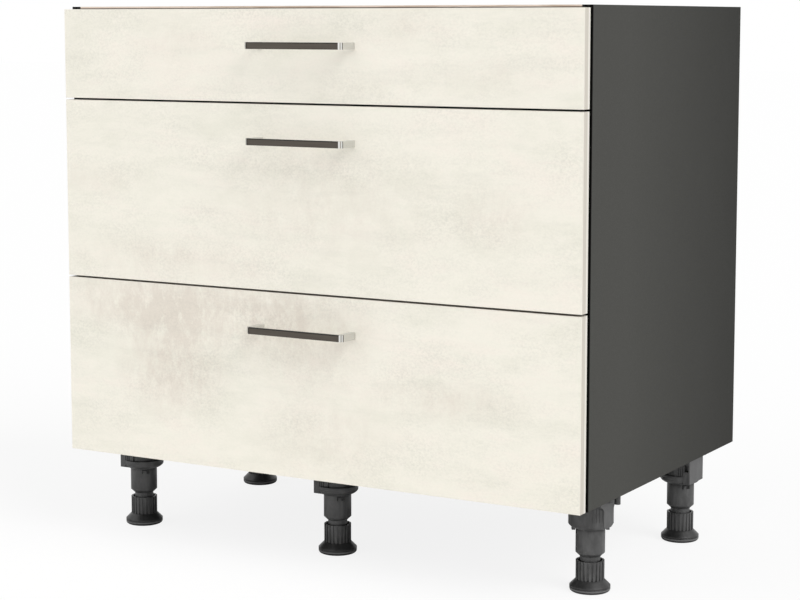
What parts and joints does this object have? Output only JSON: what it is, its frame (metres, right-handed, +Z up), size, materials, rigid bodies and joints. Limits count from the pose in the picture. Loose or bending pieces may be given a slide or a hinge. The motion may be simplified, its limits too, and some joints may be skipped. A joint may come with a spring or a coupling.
{
  "type": "drawer base cabinet",
  "caption": "Kitchen base cabinet with one shallow and two deep full-width drawers, bow handles and round screw feet, open on top for a worktop.",
  "frame": {"origin": "on the floor, in the middle of the cabinet's outer box", "axes": "+X to the right as seen from the front, +Y from the handles to the back, +Z up"},
  "size_m": [0.9, 0.62, 0.848],
  "materials": {
    "carcass_board": "matt anthracite melamine on chipboard",
    "back_board": "matt anthracite hardboard",
    "raw_wood": "light raw chipboard with a thin foil edge",
    "zinc": "bright zinc plating",
    "dowel_wood": "plain beech",
    "leg_plastic": "fine-grained dark grey moulding",
    "runner_steel": "galvanised sheet",
    "front_decor": "matt cream concrete decor on chipboard",
    "front_edging": "matt cream edge banding",
    "handle_metal": "satin nickel look",
    "handle_dark": "dark brown grey, fine brushed look",
    "drawer_steel": "silver grey powder coat",
    "bracket_steel": "grey powder coat",
    "drawer_board": "light grey melamine on chipboard"
  },
  "bodies": {
    "root": {"side_panel_left": "carcass_board", "side_panel_right": "carcass_board", "bottom_panel": "carcass_board", "back_panel": "back_board", "top_rail_front": "raw_wood", "top_rail_rear": "raw_wood", "cam_fittings": "zinc", "wood_dowels": "dowel_wood", "cabinet_rails_top": "runner_steel", "cabinet_rails_middle": "runner_steel", "cabinet_rails_bottom": "runner_steel", "rail_screws": "zinc", "leg_plates": "leg_plastic", "leg_screws": "zinc", "leg_sockets": "leg_plastic"},
    "drawer_top": {"front_panel_top": "front_decor", "edge_band_top": "front_edging", "handle_bar_top": "handle_metal", "handle_inlay_top": "handle_dark", "handle_screws_top": "zinc", "drawer_sides_top": "drawer_steel", "front_brackets_top": "bracket_steel", "drawer_bottom_top": "drawer_board", "drawer_back_top": "drawer_board", "drawer_rails_top": "runner_steel"},
    "runner_top": {"middle_rails_top": "runner_steel"},
    "drawer_middle": {"front_panel_middle": "front_decor", "edge_band_middle": "front_edging", "handle_bar_middle": "handle_metal", "handle_inlay_middle": "handle_dark", "handle_screws_middle": "zinc", "drawer_sides_middle": "drawer_steel", "front_brackets_middle": "bracket_steel", "drawer_bottom_middle": "drawer_board", "drawer_back_middle": "drawer_board", "drawer_rails_middle": "runner_steel", "gallery_rails_middle": "drawer_steel"},
    "runner_middle": {"middle_rails_middle": "runner_steel"},
    "drawer_bottom": {"front_panel_bottom": "front_decor", "edge_band_bottom": "front_edging", "handle_bar_bottom": "handle_metal", "handle_inlay_bottom": "handle_dark", "handle_screws_bottom": "zinc", "drawer_sides_bottom": "drawer_steel", "front_brackets_bottom": "bracket_steel", "drawer_bottom_bottom": "drawer_board", "drawer_back_bottom": "drawer_board", "drawer_rails_bottom": "runner_steel", "gallery_rails_bottom": "drawer_steel"},
    "runner_bottom": {"middle_rails_bottom": "runner_steel"},
    "foot_front_left": {"leg_foot_front_left": "leg_plastic"},
    "adjuster_front_left": {"leg_adjuster_front_left": "leg_plastic"},
    "foot_front_middle": {"leg_foot_front_middle": "leg_plastic"},
    "adjuster_front_middle": {"leg_adjuster_front_middle": "leg_plastic"},
    "foot_front_right": {"leg_foot_front_right": "leg_plastic"},
    "adjuster_front_right": {"leg_adjuster_front_right": "leg_plastic"},
    "foot_rear_left": {"leg_foot_rear_left": "leg_plastic"},
    "adjuster_rear_left": {"leg_adjuster_rear_left": "leg_plastic"},
    "foot_rear_right": {"leg_foot_rear_right": "leg_plastic"},
    "adjuster_rear_right": {"leg_adjuster_rear_right": "leg_plastic"}
  },
  "joints": [
    {"name": "drawer_top_slide", "type": "slide", "parent": "root", "child": "drawer_top", "axis": [0, -1, 0], "range_m": [0, 0.48]},
    {"name": "runner_top_slide", "type": "slide", "parent": "root", "child": "runner_top", "axis": [0, -1, 0], "range_m": [0, 0.24]},
    {"name": "drawer_middle_slide", "type": "slide", "parent": "root", "child": "drawer_middle", "axis": [0, -1, 0], "range_m": [0, 0.48]},
    {"name": "runner_middle_slide", "type": "slide", "parent": "root", "child": "runner_middle", "axis": [0, -1, 0], "range_m": [0, 0.24]},
    {"name": "drawer_bottom_slide", "type": "slide", "parent": "root", "child": "drawer_bottom", "axis": [0, -1, 0], "range_m": [0, 0.48]},
    {"name": "runner_bottom_slide", "type": "slide", "parent": "root", "child": "runner_bottom", "axis": [0, -1, 0], "range_m": [0, 0.24]},
    {"name": "foot_front_left_height", "type": "slide", "parent": "root", "child": "foot_front_left", "axis": [0, 0, -1], "range_m": [-0.005, 0.02]},
    {"name": "adjuster_front_left_turn", "type": "hinge", "parent": "foot_front_left", "child": "adjuster_front_left", "pos_m": [-0.405, -0.142, 0.03], "axis": [0, 0, 1], "range_deg": [-361, 1441]},
    {"name": "foot_front_middle_height", "type": "slide", "parent": "root", "child": "foot_front_middle", "axis": [0, 0, -1], "range_m": [-0.005, 0.02]},
    {"name": "adjuster_front_middle_turn", "type": "hinge", "parent": "foot_front_middle", "child": "adjuster_front_middle", "pos_m": [-0.028, -0.142, 0.03], "axis": [0, 0, 1], "range_deg": [-361, 1441]},
    {"name": "foot_front_right_height", "type": "slide", "parent": "root", "child": "foot_front_right", "axis": [0, 0, -1], "range_m": [-0.005, 0.02]},
    {"name": "adjuster_front_right_turn", "type": "hinge", "parent": "foot_front_right", "child": "adjuster_front_right", "pos_m": [0.405, -0.142, 0.03], "axis": [0, 0, 1], "range_deg": [-361, 1441]},
    {"name": "foot_rear_left_height", "type": "slide", "parent": "root", "child": "foot_rear_left", "axis": [0, 0, -1], "range_m": [-0.005, 0.02]},
    {"name": "adjuster_rear_left_turn", "type": "hinge", "parent": "foot_rear_left", "child": "adjuster_rear_left", "pos_m": [-0.405, 0.2, 0.03], "axis": [0, 0, 1], "range_deg": [-361, 1441]},
    {"name": "foot_rear_right_height", "type": "slide", "parent": "root", "child": "foot_rear_right", "axis": [0, 0, -1], "range_m": [-0.005, 0.02]},
    {"name": "adjuster_rear_right_turn", "type": "hinge", "parent": "foot_rear_right", "child": "adjuster_rear_right", "pos_m": [0.405, 0.2, 0.03], "axis": [0, 0, 1], "range_deg": [-361, 1441]}
  ],
  "couplings": [
    {"joint": "runner_top_slide", "follows": "drawer_top_slide", "ratio": 0.5},
    {"joint": "runner_middle_slide", "follows": "drawer_middle_slide", "ratio": 0.5},
    {"joint": "runner_bottom_slide", "follows": "drawer_bottom_slide", "ratio": 0.5},
    {"joint": "adjuster_front_left_turn", "follows": "foot_front_left_height", "rad_per_m": 1256.6},
    {"joint": "adjuster_front_middle_turn", "follows": "foot_front_middle_height", "rad_per_m": 1256.6},
    {"joint": "adjuster_front_right_turn", "follows": "foot_front_right_height", "rad_per_m": 1256.6},
    {"joint": "adjuster_rear_left_turn", "follows": "foot_rear_left_height", "rad_per_m": 1256.6},
    {"joint": "adjuster_rear_right_turn", "follows": "foot_rear_right_height", "rad_per_m": 1256.6}
  ]
}
